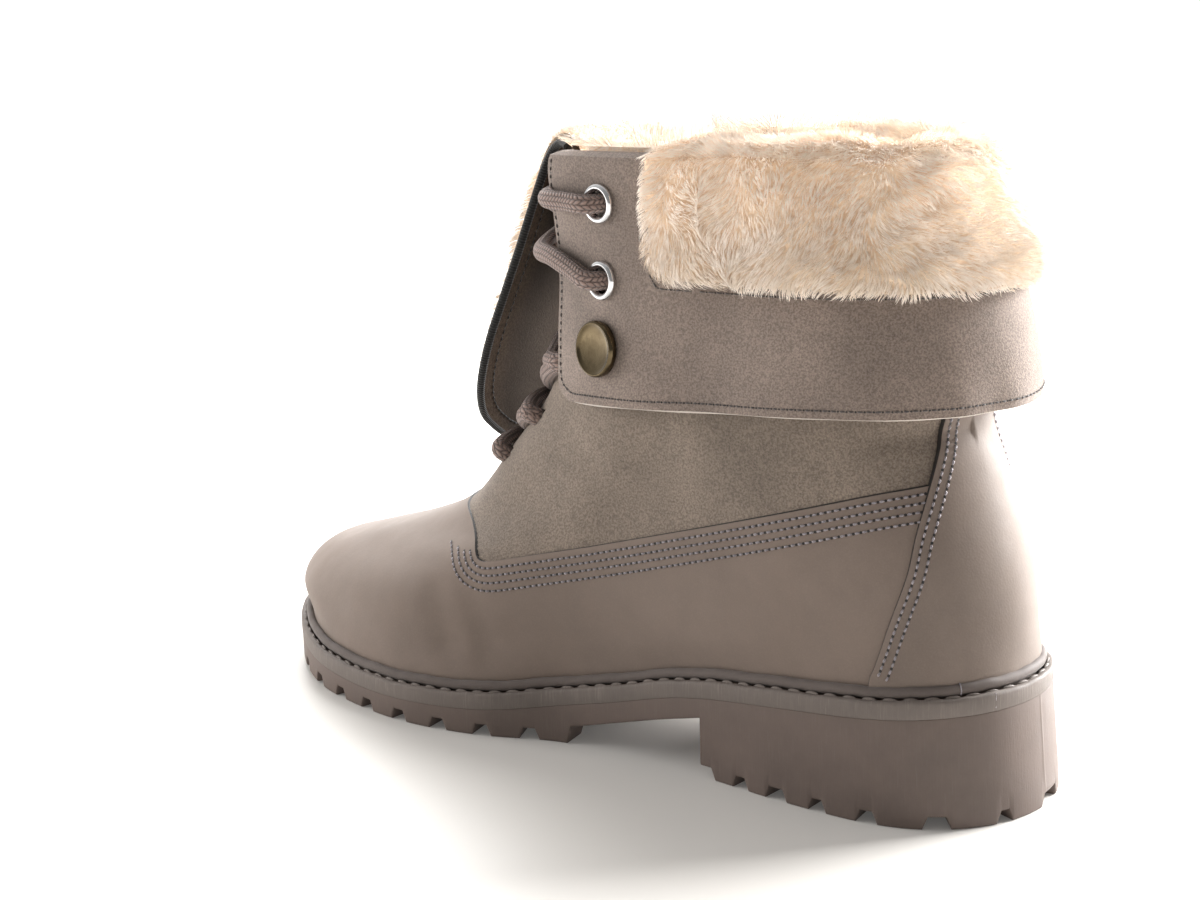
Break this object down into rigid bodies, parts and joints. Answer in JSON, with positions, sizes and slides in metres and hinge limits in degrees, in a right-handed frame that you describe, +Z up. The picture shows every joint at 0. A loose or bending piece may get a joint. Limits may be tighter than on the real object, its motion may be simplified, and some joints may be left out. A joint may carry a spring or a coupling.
{
  "type": "biker ankle boot",
  "caption": "Lace-up ankle boot for the left foot with a lugged rubber sole, a turned-down cuff faced with fur, and a folded tongue.",
  "frame": {"origin": "middle of the outline's box, on the ground plane that the tread stands on", "axes": "+X from the heel to the toe, +Y to the boot's outer side, +Z up"},
  "size_m": [0.2782, 0.1018, 0.1785],
  "materials": {
    "sole_rubber": "matte",
    "welt_rubber": "satin, finely scuffed",
    "insole_pile": "short pile",
    "upper_suede": "suede",
    "counter_leather": "matte, smooth",
    "cuff_suede": "suede",
    "fur_pile": "deep imitation fur",
    "tongue_suede": "suede",
    "eyelet_silver": "polished",
    "snap_brass": "antique, satin",
    "lace_cord": "round braid"
  },
  "bodies": {
    "root": {"outsole": "sole_rubber", "welt": "welt_rubber", "insole": "insole_pile", "upper": "upper_suede", "heel_counter": "counter_leather", "cuff": "cuff_suede", "fur_collar": "fur_pile", "tongue": "tongue_suede", "tongue_fur": "fur_pile", "eyelet_lat_upper": "eyelet_silver", "eyelet_lat_lower": "eyelet_silver", "eyelet_med_upper": "eyelet_silver", "eyelet_med_lower": "eyelet_silver", "snap_lat": "snap_brass", "snap_med": "snap_brass", "lace": "lace_cord"}
  },
  "joints": []
}
